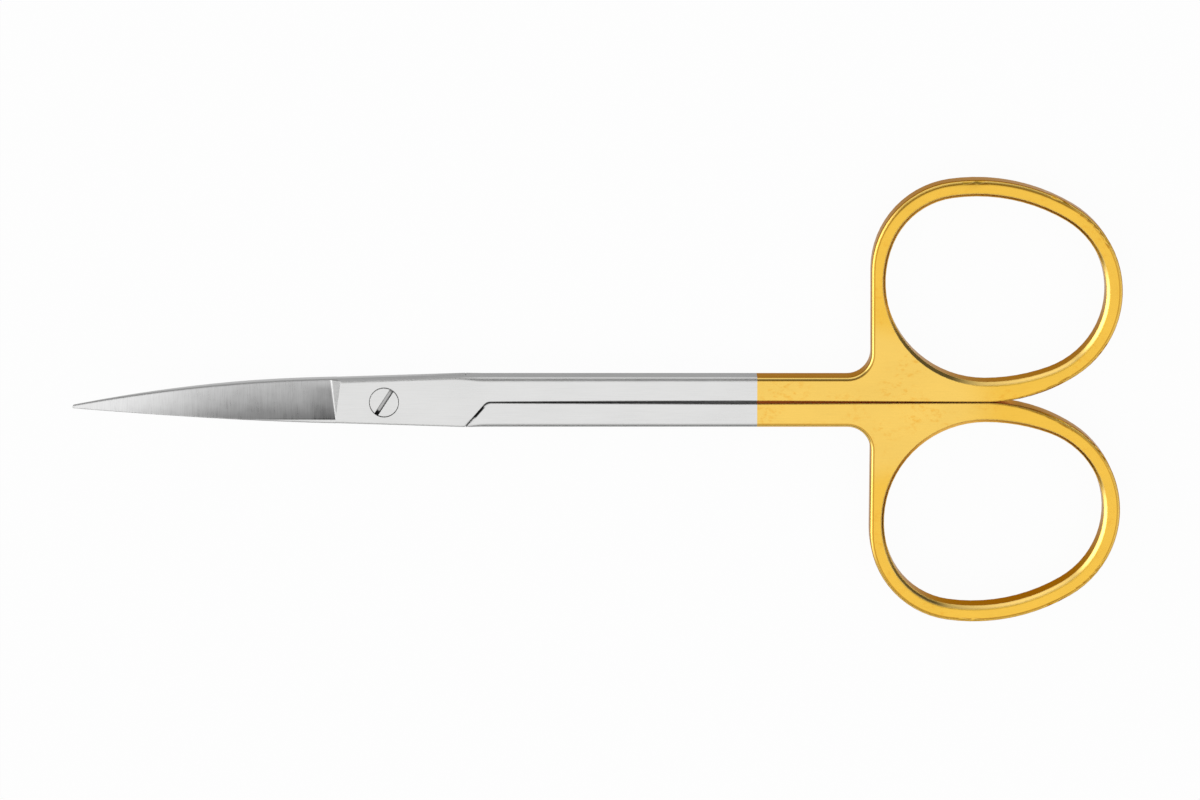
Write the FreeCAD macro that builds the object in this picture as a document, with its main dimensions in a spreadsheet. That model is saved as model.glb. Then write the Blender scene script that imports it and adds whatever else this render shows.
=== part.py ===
import FreeCAD, Part
import Sketcher
import math
import os
from types import SimpleNamespace

# Fine operating scissors, curved on the flat, with a screwed lap joint, finger rings and hard
# inserts along the cutting edges. All sizes are in millimetres.
# The pivot is the Z axis. The closed scissors lie on z = 0 with the finger rings towards +X and
# the front half's ring towards +Y. Both halves are drawn in the front half's pose. The rear half
# is then turned half a turn about its length, so only the bend of its blade is drawn the other way.

SIZES = {
    # Joint and shanks
    "joint_thick": 3.8,          # thickness of the closed joint, and of each shank
    "lap_gap": 0.05,             # running gap between the two lap faces
    "part_gap": 0.06,            # gap between the shanks at the joint and at the rings
    "bow_radius": 3100,          # the shanks bow apart a little between the joint and the rings
    "bow_middle": 38.6,          # where they stand furthest apart
    "bow_rise": 0.12,            # how much each one stands further off there
    "shank_half": 2.76,          # width of one shank
    "shank_start": 11.3,         # where the widening joint has become the straight shank
    "sweep_radius": 127,         # arc between the joint's side and the shank's side
    "lap_corner": 8.84,          # outer end of the slanting shoulder, from the pivot
    "lap_end": 11.25,            # inner end of the slanting shoulder, from the pivot
    "shoulder_gap": 0.1,         # gap along the length between the two shoulders
    "shoulder_round": 1.0,       # rounding where the shoulder turns into the parting line
    # Finger ring: a hole of five arcs that join smoothly
    "ring_x": 65.97,             # centre of the arc on the shank's side
    "ring_y": 13.3,
    "ring_shank_radius": 11.07,  # arc on the shank's side
    "ring_low_radius": 20.5,     # arc along the parting line
    "ring_end_radius": 9.21,     # arc at the far end
    "ring_low_angle": 20.1,       # degrees that the arcs turn through, one after the other
    "ring_end_angle": 129.3,
    "ring_top_angle": 38.7,
    "ring_root_angle": 59,
    "ring_rod": 1.79,            # width of the ring's rod
    "heel_radius": 18,           # arc that leads the ring's outside into the parting line
    "neck_reach": 12.57,         # from the ring's centre back to the foot of its neck
    "root_round": 2.6,           # rounding in that corner
    # Blade
    "tip_reach": 33.9,           # pivot to the tips
    "tip_round": 0.14,           # nose of the blade seen from above
    "blade_root": 5.33,          # pivot to the step where the blade begins
    "blade_root_half": 2.3,      # half width of the blade at that step
    "blade_side_radius": 263,    # long arc of both sides of the blade
    "bend_start": 9.3,           # the blades curve up from here
    "bend_radius": 68,           # radius of that curve
    "spine_tip_thick": 0.4,      # thickness of one blade's back at the tip
    "grind_drop": 1.45,          # how far the ground face falls at the cutting edge
    "ramp_length": 1.18,         # length of the step's ramp at the cutting edge
    "strip_width": 0.4,          # bright strip along the back that the grinding leaves
    "grind_tip_high": 0.7,       # the ground face at the tip, carried on to the back's side
    "grind_tip_low": 0.14,       # and to the cutting edge's side
    # Hard insert
    "insert_wide": 1.2,          # width at the step
    "insert_thick": 0.33,        # thickness along the straight part
    "insert_tip_thick": 0.1,    # thickness at the tip
    # Screw
    "head_radius": 1.6,
    "head_thick": 0.85,
    "head_gap": 0.04,            # round the head and under it
    "shank_radius": 1.1,
    "bore_gap": 0.03,            # running gap round the screw's shank
    "thread_radius": 0.9,
    "thread_gap": 0.01,
    "slot_wide": 0.46,
    "slot_deep": 0.45,
    "slot_angle": 57,             # degrees from the length
    "lip_break": 0.05,           # broken edge of the head
    # Edges
    "edge_break": 0.12,          # broken edges of the joint and the parting line
    "handle_round": 0.48,        # rounded outline of the shanks and rings
    "rim_chamfer": 0.38,         # broken rims of the finger holes
    "overrun": 2,                # how far cutting shapes run past what they cut
}


STRAIGHT_UP = 0.99               # a level face's normal points this much along the thickness


class Measure:
    """A size, or a sum of sizes, as a number and as the text that ties it to the sheet."""

    def __init__(self, value, text):
        self.value = value
        self.text = text

    @staticmethod
    def of(other):
        return other if isinstance(other, Measure) else Measure(float(other), repr(float(other)))

    def __add__(self, other):
        other = Measure.of(other)
        return Measure(self.value + other.value, f"({self.text} + {other.text})")

    def __sub__(self, other):
        other = Measure.of(other)
        return Measure(self.value - other.value, f"({self.text} - {other.text})")

    def __mul__(self, other):
        other = Measure.of(other)
        return Measure(self.value * other.value, f"({self.text} * {other.text})")

    def __truediv__(self, other):
        other = Measure.of(other)
        return Measure(self.value / other.value, f"({self.text} / {other.text})")

    def __neg__(self):
        return Measure(-self.value, f"(-1 * {self.text})")

    def __rmul__(self, other):
        return Measure.of(other) * self

    def root(self):
        return Measure(math.sqrt(self.value), f"sqrt({self.text})")

    def size(self):
        return Measure(abs(self.value), f"abs({self.text})")


def make_sheet(doc):
    """Puts every driving size in the sheet and gives each back as a Measure."""
    sheet = doc.addObject("Spreadsheet::Sheet", "Sizes")
    for row, (name, number) in enumerate(SIZES.items(), start=1):
        sheet.set(f"A{row}", name.replace("_", " "))
        sheet.set(f"B{row}", str(number))
        sheet.setAlias(f"B{row}", name)
    doc.recompute()
    return SimpleNamespace(**{name: Measure(float(sheet.get(name)), f"Sizes.{name}") for name in SIZES})


def point_at(x, y):
    return FreeCAD.Vector(x, y, 0)


def arc_centre(start, end, radius, above):
    """Centre of an arc through two points, on the upper or lower side of their chord."""
    chord = end - start
    normal = FreeCAD.Vector(-chord.y, chord.x, 0).normalize()
    if (normal.y > 0) != above:
        normal = -normal
    return (start + end) * 0.5 + normal * math.sqrt(radius ** 2 - chord.Length ** 2 / 4)


def corner_arc(corner, one_way, other_way, radius):
    """Ends and centre of the arc that rounds a corner between two directions."""
    one_way = FreeCAD.Vector(one_way).normalize()
    other_way = FreeCAD.Vector(other_way).normalize()
    half = one_way.getAngle(other_way) / 2
    back = radius / math.tan(half)
    centre = corner + (one_way + other_way).normalize() * (radius / math.sin(half))
    return corner + one_way * back, corner + other_way * back, centre


class Outline:
    """A sketch of lines and arcs, tied to the sheet."""

    def __init__(self, body, name, role, height=None):
        self.sketch = body.newObject("Sketcher::SketchObject", name)
        plane = next(item for item in body.Origin.OriginFeatures if item.Role == role)
        self.sketch.AttachmentSupport = [(plane, "")]
        self.sketch.MapMode = "FlatFace"
        if height is not None:
            self.sketch.setExpression("AttachmentOffset.Base.z", height.text)
        self.ends = {}

    def line(self, start, end):
        number = self.sketch.addGeometry(Part.LineSegment(start, end), False)
        self.ends[number] = (1, 2)
        return number

    def arc(self, start, end, centre):
        """The shorter way round from start to end."""
        first = math.atan2(start.y - centre.y, start.x - centre.x)
        last = math.atan2(end.y - centre.y, end.x - centre.x)
        turn = (last - first + math.pi) % (2 * math.pi) - math.pi
        circle = Part.Circle(centre, FreeCAD.Vector(0, 0, 1), (start - centre).Length)
        forward = turn > 0
        span = (first, first + turn) if forward else (last, last - turn)
        number = self.sketch.addGeometry(Part.ArcOfCircle(circle, *span), False)
        self.ends[number] = (1, 2) if forward else (2, 1)
        return number

    def mark(self, place, x=None, y=None):
        """A helping point that other lines run through."""
        number = self.sketch.addGeometry(Part.Point(place), True)
        self.pin((number, 1), x, y)
        return number, 1

    def helping_circle(self, centre, radius):
        number = self.sketch.addGeometry(Part.Circle(point_at(centre[0].value, centre[1].value),
                                                     FreeCAD.Vector(0, 0, 1), radius.value), True)
        self.pin((number, 3), *centre)
        self.tie("Radius", number, by=radius)
        return number

    def circle(self, radius):
        circle = Part.Circle(point_at(0, 0), FreeCAD.Vector(0, 0, 1), radius.value)
        number = self.sketch.addGeometry(circle, False)
        self.tie("Coincident", number, 3, -1, 1)
        self.tie("Radius", number, by=radius)
        return number

    def tie(self, kind, *where, by=None):
        """Adds one constraint, and ties its size to the sheet where it has one."""
        if by is None:
            self.sketch.addConstraint(Sketcher.Constraint(kind, *where))
            return
        value = math.radians(by.value) if kind == "Angle" else by.value
        number = self.sketch.addConstraint(Sketcher.Constraint(kind, *where, value))
        self.sketch.setExpression(f"Constraints[{number}]", by.text)

    def first(self, item):
        return item, self.ends[item][0]

    def last(self, item):
        return item, self.ends[item][1]

    def pin(self, end, x=None, y=None):
        if x is not None:
            self.tie("DistanceX", -1, 1, *end, by=x)
        if y is not None:
            self.tie("DistanceY", -1, 1, *end, by=y)

    def meet(self, before, after):
        self.tie("Coincident", *self.last(before), *self.first(after))

    def flow(self, before, after):
        self.tie("Tangent", *self.last(before), *self.first(after))

    def closed(self, points, arcs=None):
        """A ring of corners, each at its own place. arcs gives a side its radius, and says
        whether its centre lies above it."""
        corners = [point_at(x.value, y.value) for x, y in points]
        sides = []
        for index, start in enumerate(corners):
            end = corners[(index + 1) % len(corners)]
            if arcs and index in arcs:
                radius, above = arcs[index]
                side = self.arc(start, end, arc_centre(start, end, radius.value, above))
                self.tie("Radius", side, by=radius)
            else:
                side = self.line(start, end)
            sides.append(side)
        for index, side in enumerate(sides):
            self.meet(side, sides[(index + 1) % len(sides)])
            self.pin(self.first(side), *points[index])
        return sides


def solid_step(body, kind, name, profile, **settings):
    """One feature of a body that grows or cuts its solid from an outline."""
    feature = body.newObject(f"PartDesign::{kind}", name)
    feature.Profile = profile.sketch
    for key, value in settings.items():
        if isinstance(value, Measure):
            feature.setExpression(key, value.text)
        else:
            setattr(feature, key, value)
    return feature


def ring_arcs(s):
    """Centres, radii and junction angles of the finger hole's five arcs. The last two radii are
    those that close the hole."""
    turns = [turn.value for turn in (s.ring_low_angle, s.ring_end_angle, s.ring_top_angle, s.ring_root_angle)]
    angles = [math.radians(sum(turns[:count]) - 90) for count in range(len(turns) + 1)]
    ways = [point_at(math.cos(angle), math.sin(angle)) for angle in angles]
    known = (s.ring_shank_radius.value, s.ring_low_radius.value, s.ring_end_radius.value)
    left, right = ways[3] - ways[2], ways[4] - ways[3]
    rest = (ways[4] - ways[0]) * known[0] + (ways[0] - ways[1]) * known[1] + (ways[1] - ways[2]) * known[2]
    area = left.x * right.y - left.y * right.x
    top = (rest.x * right.y - rest.y * right.x) / area
    root = (left.x * rest.y - left.y * rest.x) / area
    radii = (*known, top, root)
    centres = [point_at(s.ring_x.value, s.ring_y.value)]
    for way, radius, next_radius in zip(ways, radii, radii[1:]):
        centres.append(centres[-1] + way * (radius - next_radius))
    return centres, radii, ways


def draw_finger_hole(plan, s):
    """The hole's five arcs, from the one on the shank's side round the parting line and the end."""
    centres, radii, ways = ring_arcs(s)
    arcs = []
    for index, (centre, radius) in enumerate(zip(centres, radii)):
        arcs.append(plan.arc(centre + ways[index - 1] * radius, centre + ways[index] * radius, centre))
    for index, arc in enumerate(arcs):
        plan.flow(arc, arcs[(index + 1) % len(arcs)])
    plan.pin((arcs[0], 3), s.ring_x, s.ring_y)
    plan.tie("Vertical", arcs[0], 3, *plan.last(arcs[0]))
    for arc, radius in zip(arcs, (s.ring_shank_radius, s.ring_low_radius, s.ring_end_radius)):
        plan.tie("Radius", arc, by=radius)
    turns = (s.ring_low_angle, s.ring_end_angle, s.ring_top_angle, s.ring_root_angle)
    for arc, turn in zip(arcs[1:], turns):
        plan.tie("Angle", arc, by=turn)
    return arcs


def nose_centre(s):
    return point_at((s.tip_round - s.tip_reach).value, 0)


def blade_side(plan, s, upper):
    """One long side of the blade, between the step and the nose, drawn anticlockwise."""
    sign = 1 if upper else -1
    root = point_at(-s.blade_root.value, sign * s.blade_root_half.value)
    lean = (s.blade_root_half - s.tip_round).value / (s.tip_reach - s.blade_root).value
    nose = nose_centre(s) + point_at(-lean, sign) * s.tip_round.value
    centre = arc_centre(root, nose, s.blade_side_radius.value, not upper)
    side = plan.arc(root, nose, centre) if upper else plan.arc(nose, root, centre)
    plan.tie("Radius", side, by=s.blade_side_radius)
    plan.pin(plan.first(side) if upper else plan.last(side), -s.blade_root,
             s.blade_root_half if upper else -s.blade_root_half)
    return side


def nose_arc(plan, s, start, end):
    nose = plan.arc(start, end, nose_centre(s))
    plan.tie("Radius", nose, by=s.tip_round)
    plan.pin((nose, 3), x=s.tip_round - s.tip_reach)
    plan.tie("PointOnObject", nose, 3, -1)
    return nose


def corner_half(s):
    """Half width of the joint at the shoulder's outer end, on the arc of the joint's side."""
    before = s.shank_start - s.lap_corner
    return s.shank_half - before * before / (s.sweep_radius * 2)


def heel_centre(s, centres, radii):
    """Centre of the arc that touches both the ring's outside and the parting line."""
    reach = s.heel_radius.value - radii[2] - s.ring_rod.value
    height = s.heel_radius.value + s.part_gap.value / 2
    return point_at(centres[2].x - math.sqrt(reach ** 2 - (height - centres[2].y) ** 2), height)


def draw_blade_plan(plan, s):
    """Both sides of the blade, its nose and its joint with the handle."""
    upper = blade_side(plan, s, True)
    lower = blade_side(plan, s, False)
    sketch = plan.sketch
    nose = nose_arc(plan, s, sketch.getPoint(*plan.last(upper)), sketch.getPoint(*plan.first(lower)))
    end = plan.line(sketch.getPoint(*plan.last(lower)), sketch.getPoint(*plan.first(upper)))
    plan.flow(upper, nose)
    plan.flow(nose, lower)
    plan.meet(lower, end)
    plan.meet(end, upper)


def bow_centre(s):
    """Centre of the long arc along the parting line."""
    return s.bow_middle, s.part_gap / 2 + s.bow_rise - s.bow_radius


def on_bow(s, x):
    """Height of the parting line, as a number."""
    middle, level = (measure.value for measure in bow_centre(s))
    return level + math.sqrt(s.bow_radius.value ** 2 - (x - middle) ** 2)


def draw_handle_plan(plan, s):
    """The half without its blade, seen from above: joint, shank and ring."""
    hole = draw_finger_hole(plan, s)
    centres, radii, ways = ring_arcs(s)
    outside = [radius + s.ring_rod.value for radius in radii]

    shank = point_at(s.shank_start.value, s.shank_half.value)
    root = point_at(-s.blade_root.value, s.blade_root_half.value)
    slope = (shank.y - root.y) / (shank.x - root.x)
    sweep_start = shank - point_at(slope, slope ** 2 / 2) * s.sweep_radius.value
    neck_x = s.ring_x - s.neck_reach
    neck_foot = point_at(neck_x.value, s.shank_half.value)
    heel = heel_centre(s, centres, radii)
    heel_way = (centres[2] - heel).normalize()
    heel_foot = heel - point_at(0, s.heel_radius.value)
    heel_foot.y = on_bow(s, heel_foot.x)
    lap_end = point_at(s.lap_end.value, on_bow(s, s.lap_end.value))
    lap_corner = point_at(s.lap_corner.value, -corner_half(s).value)
    bow = point_at(*(measure.value for measure in bow_centre(s)))
    inner_round = s.shoulder_round - s.shoulder_gap

    joint_side = plan.line(root, sweep_start)
    sweep = plan.arc(sweep_start, shank, shank - point_at(0, s.sweep_radius.value))
    neck_end = centres[4] - point_at(outside[4], 0)
    start, end, centre = corner_arc(neck_foot, point_at(-1, 0), neck_end - neck_foot, s.root_round.value)
    shank_side = plan.line(shank, start)
    rounding = plan.arc(start, end, centre)
    neck = plan.line(end, neck_end)
    root_arc = plan.arc(neck_end, centres[4] + ways[3] * outside[4], centres[4])
    top_arc = plan.arc(centres[3] + ways[3] * outside[3], centres[3] + ways[2] * outside[3], centres[3])
    end_arc = plan.arc(centres[2] + ways[2] * outside[2], centres[2] + heel_way * outside[2], centres[2])
    heel_arc = plan.arc(heel + heel_way * s.heel_radius.value, heel_foot, heel)
    start, end, centre = corner_arc(lap_end, point_at(1, 0), lap_corner - lap_end, inner_round.value)
    parting = plan.arc(heel_foot, start, bow)
    inner_corner = plan.arc(start, end, centre)
    shoulder = plan.line(end, lap_corner)
    joint_lower = plan.line(lap_corner, point_at(root.x, -root.y))
    step = plan.line(point_at(root.x, -root.y), root)

    flowing = (joint_side, sweep, shank_side, rounding, neck, root_arc, top_arc, end_arc, heel_arc, parting,
               inner_corner, shoulder)
    for before, after in zip(flowing, flowing[1:]):
        plan.flow(before, after)
    for before, after in ((shoulder, joint_lower), (joint_lower, step), (step, joint_side)):
        plan.meet(before, after)
    for outer, inner in ((root_arc, hole[4]), (top_arc, hole[3]), (end_arc, hole[2])):
        plan.tie("Coincident", outer, 3, inner, 3)
    plan.tie("Radius", sweep, by=s.sweep_radius)
    plan.tie("Radius", end_arc, by=s.ring_end_radius + s.ring_rod)
    plan.tie("Radius", heel_arc, by=s.heel_radius)
    plan.tie("Radius", parting, by=s.bow_radius)
    plan.tie("Horizontal", shank_side)
    plan.pin(plan.first(joint_side), -s.blade_root, s.blade_root_half)
    plan.pin(plan.first(step), -s.blade_root, -s.blade_root_half)
    plan.pin(plan.first(shank_side), s.shank_start, s.shank_half)
    plan.tie("PointOnObject", *plan.mark(neck_foot, neck_x, s.shank_half), neck)
    plan.tie("Radius", rounding, by=s.root_round)
    plan.pin((parting, 3), *bow_centre(s))
    plan.pin(plan.last(shoulder), s.lap_corner, -corner_half(s))
    plan.tie("Radius", inner_corner, by=inner_round)
    corner = plan.mark(lap_end, x=s.lap_end)
    plan.tie("PointOnObject", *corner, parting)
    plan.tie("PointOnObject", *corner, shoulder)


def tip_end(s):
    """The side profiles run just past the nose."""
    return s.tip_reach + s.tip_round


def fall(s, radius):
    """How far an arc of this radius about the bend's centre has left its level at the tip."""
    reach = tip_end(s) - s.bend_start
    return (radius * radius - reach * reach).root()


def face_level(s):
    """The half's lap face."""
    return (s.joint_thick + s.lap_gap) / 2


def face_at_tip(s, bend):
    radius = s.bend_radius - bend * s.lap_gap / 2
    return s.joint_thick / 2 + (s.bend_radius - fall(s, radius)) * bend


def over_face_at_tip(s, bend, thickness):
    return s.joint_thick / 2 + (s.bend_radius - fall(s, s.bend_radius)) * bend + thickness


def tangent_radius(s, start, end):
    """Radius of the arc that leaves level ground at the bend's start and ends at the tip."""
    reach = tip_end(s) - s.bend_start
    climb = (end - start).size()
    return (reach * reach + climb * climb) / (climb * 2)


def blade_back(s, bend, thickness_at_tip, level):
    """Level at the tip and radius of an outer line of the blade."""
    end = over_face_at_tip(s, bend, thickness_at_tip)
    return end, (tangent_radius(s, level, end), (end - level).value > 0)


def draw_blade_side(side, s, bend):
    """What lies round the blade seen from the side: a frame with the blade's own shape left out.
    Its inner face and its back are arcs."""
    face = face_level(s)
    back, back_arc = blade_back(s, bend, s.spine_tip_thick, s.joint_thick)
    face_arc = (s.bend_radius - bend * s.lap_gap / 2, bend > 0)
    near = s.overrun - s.blade_root
    side.closed([(near, s.joint_thick), (-s.bend_start, s.joint_thick), (-tip_end(s), back),
                 (-tip_end(s), face_at_tip(s, bend)), (-s.bend_start, face), (near, face)],
                {1: back_arc, 3: face_arc})
    side_frame(side, s, near + s.overrun)


def side_frame(side, s, right):
    """The outer edge of a side profile, clear of everything that the profile shapes."""
    reach = s.joint_thick + s.bend_radius - fall(s, s.bend_radius) + s.overrun
    left = -tip_end(s) - s.overrun
    side.closed([(left, -reach), (right, -reach), (right, reach), (left, reach)])


def shoulder_x(s, height):
    """The lower layer's shoulder, carried on as a straight line."""
    run = (s.lap_end - s.lap_corner) / (corner_half(s) + s.part_gap / 2)
    return s.lap_corner + s.shoulder_gap + (corner_half(s) - height) * run


def draw_lap(lap, s):
    """The lower layer at the joint, where the other half's lap plate lies. Its end is the
    shoulder, rounded where it meets the parting line."""
    side = s.shank_half + s.overrun
    low_mark = -s.shank_half
    corner = point_at(shoulder_x(s, s.part_gap / 2).value, s.part_gap.value / 2)
    top = point_at(shoulder_x(s, side).value, side.value)
    foot, shoulder_foot, centre = corner_arc(corner, point_at(1, 0), top - corner, s.shoulder_round.value)
    near = point_at(-s.blade_root.value, -side.value)
    low = point_at(foot.x, near.y)

    lower = lap.line(near, low)
    drop = lap.line(low, foot)
    rounding = lap.arc(foot, shoulder_foot, centre)
    shoulder = lap.line(shoulder_foot, top)
    upper = lap.line(top, point_at(near.x, top.y))
    end = lap.line(point_at(near.x, top.y), near)
    sides = (lower, drop, rounding, shoulder, upper, end)
    for before, after in zip(sides, sides[1:] + sides[:1]):
        if before != rounding:
            lap.meet(before, after)
    lap.flow(rounding, shoulder)
    lap.tie("Vertical", drop)
    lap.tie("Radius", rounding, by=s.shoulder_round)
    lap.tie("Horizontal", lower)
    parting = lap.helping_circle(bow_centre(s), s.bow_radius)
    lap.tie("Tangent", *lap.first(rounding), parting)
    lap.pin(lap.last(shoulder), shoulder_x(s, side), side)
    lap.pin(lap.first(end), -s.blade_root, side)
    lap.pin(lap.last(end), -s.blade_root, -side)
    mark_x = shoulder_x(s, low_mark)
    line_mark = lap.mark(point_at(mark_x.value, low_mark.value), mark_x, low_mark)
    lap.tie("PointOnObject", *line_mark, shoulder)


def draw_grind(grind, s, bend, share, grind_tip):
    """One end of the cutter that grinds the blade's outer face, with the ramp of the step. share is
    how much of the full drop is taken there."""
    steep = s.grind_drop / s.ramp_length
    drop = s.grind_drop * share
    ramp_top = s.ramp_length / 2 * share - s.blade_root
    level = s.joint_thick - drop
    end, arc = blade_back(s, bend, grind_tip, level)
    above = s.joint_thick + s.bend_radius - fall(s, s.bend_radius) + s.overrun
    past = -tip_end(s) - s.overrun
    grind.closed([
        (ramp_top + s.overrun / steep, s.joint_thick + s.overrun), (ramp_top - drop / steep, level),
        (-s.bend_start, level), (-tip_end(s), end), (past, end), (past, above),
        (ramp_top + s.overrun / steep, above),
    ], {2: arc})


def draw_insert_plan(plan, s):
    """The insert follows the cutting edge and tapers to the tip."""
    upper = blade_side(plan, s, True)
    root = point_at(-s.blade_root.value, s.blade_root_half.value)
    inner = root - point_at(0, s.insert_wide.value)
    tip = point_at(-s.tip_reach.value, 0)
    nose = nose_arc(plan, s, plan.sketch.getPoint(*plan.last(upper)), tip)
    back = plan.line(tip, inner)
    end = plan.line(inner, root)
    plan.flow(upper, nose)
    plan.meet(nose, back)
    plan.meet(back, end)
    plan.meet(end, upper)
    plan.tie("PointOnObject", *plan.last(nose), -1)
    plan.pin(plan.last(back), -s.blade_root, s.blade_root_half - s.insert_wide)


def draw_insert_side(side, s, bend):
    """What lies round the insert seen from the side."""
    face = face_level(s)
    level = face + s.insert_thick
    back, back_arc = blade_back(s, bend, s.insert_tip_thick, level)
    face_arc = (s.bend_radius - bend * s.lap_gap / 2, bend > 0)
    near = s.overrun - s.blade_root
    side.closed([(near, level), (-s.bend_start, level), (-tip_end(s), back),
                 (-tip_end(s), face_at_tip(s, bend)), (-s.bend_start, face), (near, face)],
                {1: back_arc, 3: face_arc})
    side_frame(side, s, near + s.overrun)


def block_height(s):
    """A height that holds the joint and the bent blade, either way round."""
    return (s.joint_thick + s.bend_radius - fall(s, s.bend_radius)) * 2


def start_body(doc, name):
    return doc.addObject("PartDesign::Body", name)


def forge_handle(doc, name, s):
    """Joint plate, shank and ring, with the room for the other half's joint plate."""
    body = start_body(doc, name + "_handle")
    plan = Outline(body, name + "_handle_plan", "XY_Plane")
    draw_handle_plan(plan, s)
    solid_step(body, "Pad", name + "_handle_blank", plan, Length=s.joint_thick)
    lap = Outline(body, name + "_lap", "XY_Plane")
    draw_lap(lap, s)
    solid_step(body, "Pocket", name + "_lap_face", lap, Reversed=True, Length=face_level(s))
    return body


def forge_blade(doc, name, bend, s):
    """The blade before it is ground. bend is 1 where it curves away from its own lap face's side,
    and -1 where it curves the other way."""
    body = start_body(doc, name + "_blade")
    plan = Outline(body, name + "_blade_plan", "XY_Plane")
    draw_blade_plan(plan, s)
    solid_step(body, "Pad", name + "_blade_blank", plan, SideType="Symmetric", Length=block_height(s))
    side = Outline(body, name + "_blade_side", "XZ_Plane")
    draw_blade_side(side, s, bend)
    solid_step(body, "Pocket", name + "_blade_bend", side, Type="ThroughAll", SideType="Symmetric")
    return body


def make_grinding(doc, name, bend, s):
    """What the grinding takes off the blade's outer face. It slopes from nothing at the strip along
    the back to the full drop at the cutting edge, and runs on past both."""
    body = start_body(doc, name + "_grinding")
    side = s.blade_root_half + s.overrun
    wide = s.blade_root_half * 2 - s.strip_width
    past = s.overrun / wide
    tip_past = (s.grind_tip_high - s.grind_tip_low) * s.overrun / (s.blade_root_half * 2)
    low = Outline(body, name + "_grind_edge", "XZ_Plane", height=-side)
    draw_grind(low, s, bend, past + 1, s.grind_tip_low - tip_past)
    high = Outline(body, name + "_grind_back", "XZ_Plane", height=side)
    draw_grind(high, s, bend, -(past + s.strip_width / wide), s.grind_tip_high + tip_past)
    solid_step(body, "AdditiveLoft", name + "_ground_away", low, Sections=[high.sketch], Ruled=True)
    return body


def add_drilling(body, name, radius, s, from_height=None):
    """A round hole on the pivot: right through, or upwards from a height."""
    outline = Outline(body, name + "_outline", "XY_Plane", height=from_height)
    outline.circle(radius)
    way = {"SideType": "Symmetric"} if from_height is None else {}
    solid_step(body, "Pad", name, outline, Length=s.joint_thick * 2 + s.overrun, **way)


def make_insert(doc, name, bend, s):
    body = start_body(doc, name)
    plan = Outline(body, name + "_plan", "XY_Plane")
    draw_insert_plan(plan, s)
    solid_step(body, "Pad", name + "_blank", plan, SideType="Symmetric", Length=block_height(s))
    side = Outline(body, name + "_side", "XZ_Plane")
    draw_insert_side(side, s, bend)
    solid_step(body, "Pocket", name + "_bend", side, Type="ThroughAll", SideType="Symmetric")
    return body


def make_screw(doc, name, s):
    """A slotted screw: flush head, plain shank that the front half turns on, threaded end."""
    body = start_body(doc, name)
    profile = Outline(body, name + "_profile", "XZ_Plane")
    axis = Measure.of(0)
    seat = (s.joint_thick - s.lap_gap) / 2
    under_head = s.joint_thick - s.head_thick
    profile.closed([
        (axis, axis), (s.thread_radius, axis), (s.thread_radius, seat), (s.shank_radius, seat),
        (s.shank_radius, under_head), (s.head_radius, under_head),
        (s.head_radius, s.joint_thick - s.lip_break), (s.head_radius - s.lip_break, s.joint_thick),
        (axis, s.joint_thick),
    ])
    turned = solid_step(body, "Revolution", name + "_turning", profile)
    turned.ReferenceAxis = (profile.sketch, ["V_Axis"])
    slot = Outline(body, name + "_slot", "XY_Plane", height=s.joint_thick - s.slot_deep)
    slot.sketch.setExpression("AttachmentOffset.Rotation.Angle", s.slot_angle.text)
    reach = s.head_radius + s.overrun
    wide = s.slot_wide / 2
    slot.closed([(-reach, -wide), (reach, -wide), (reach, wide), (-reach, wide)])
    solid_step(body, "Pocket", name + "_slotting", slot, Type="ThroughAll", Reversed=True)
    return body


def turn_over(body, s):
    """The rear half and its insert lie half a turn about the length from how they are drawn."""
    body.Placement = FreeCAD.Placement(point_at(0, 0), FreeCAD.Rotation(FreeCAD.Vector(1, 0, 0), 180))
    body.setExpression("Placement.Base.z", s.joint_thick.text)


def rim_edges(shape):
    """Numbers of the edges round the finger hole."""
    rims = []
    for face in shape.Faces:
        for wire in face.Wires:
            if not wire.isSame(face.OuterWire):
                rims.extend(edge_number(shape, edge) for edge in wire.Edges)
    return rims


def edge_number(shape, wanted):
    """The number that a feature knows an edge by."""
    return next(number for number, edge in enumerate(shape.Edges, start=1) if edge.isSame(wanted))


def level_faces(shape, s):
    """The upper and the lower face, without the lap face between them."""
    middle = s.joint_thick.value / 2
    return [face for face in shape.Faces if abs(face.normalAt(0, 0).z) > STRAIGHT_UP
            and abs(face.CenterOfMass.z - middle) > middle / 2]


def outline_edges(shape, s):
    """Numbers of the edges round the upper and the lower face, with the rounding at each end. It is
    small at the joint and along the parting line, and large elsewhere. The edges where it changes
    come first, and the first of them gives the way along the others."""
    fade = (s.lap_corner.value + s.shank_start.value) / 2

    def radius_at(point):
        small = point.x < fade or point.y < s.handle_round.value
        return (s.edge_break if small else s.handle_round).value

    found = []
    for face in level_faces(shape, s):
        way = None
        for edge in face.OuterWire.Edges:
            if edge.BoundBox.XMax < 0:
                continue
            radii = [radius_at(edge.valueAt(end)) for end in (edge.FirstParameter, edge.LastParameter)]
            if radii[0] != radii[1]:
                way = way or edge.Orientation
                if edge.Orientation != way:
                    radii.reverse()
            found.append((edge_number(shape, edge), *radii))
    return sorted(found, key=lambda item: item[1] == item[2])


def as_drawn(item, handle):
    """The item's shape in the pose that the handle is drawn in."""
    shape = item.Shape.copy()
    shape.Placement = handle.Placement.inverse() * shape.Placement
    return shape


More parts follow.
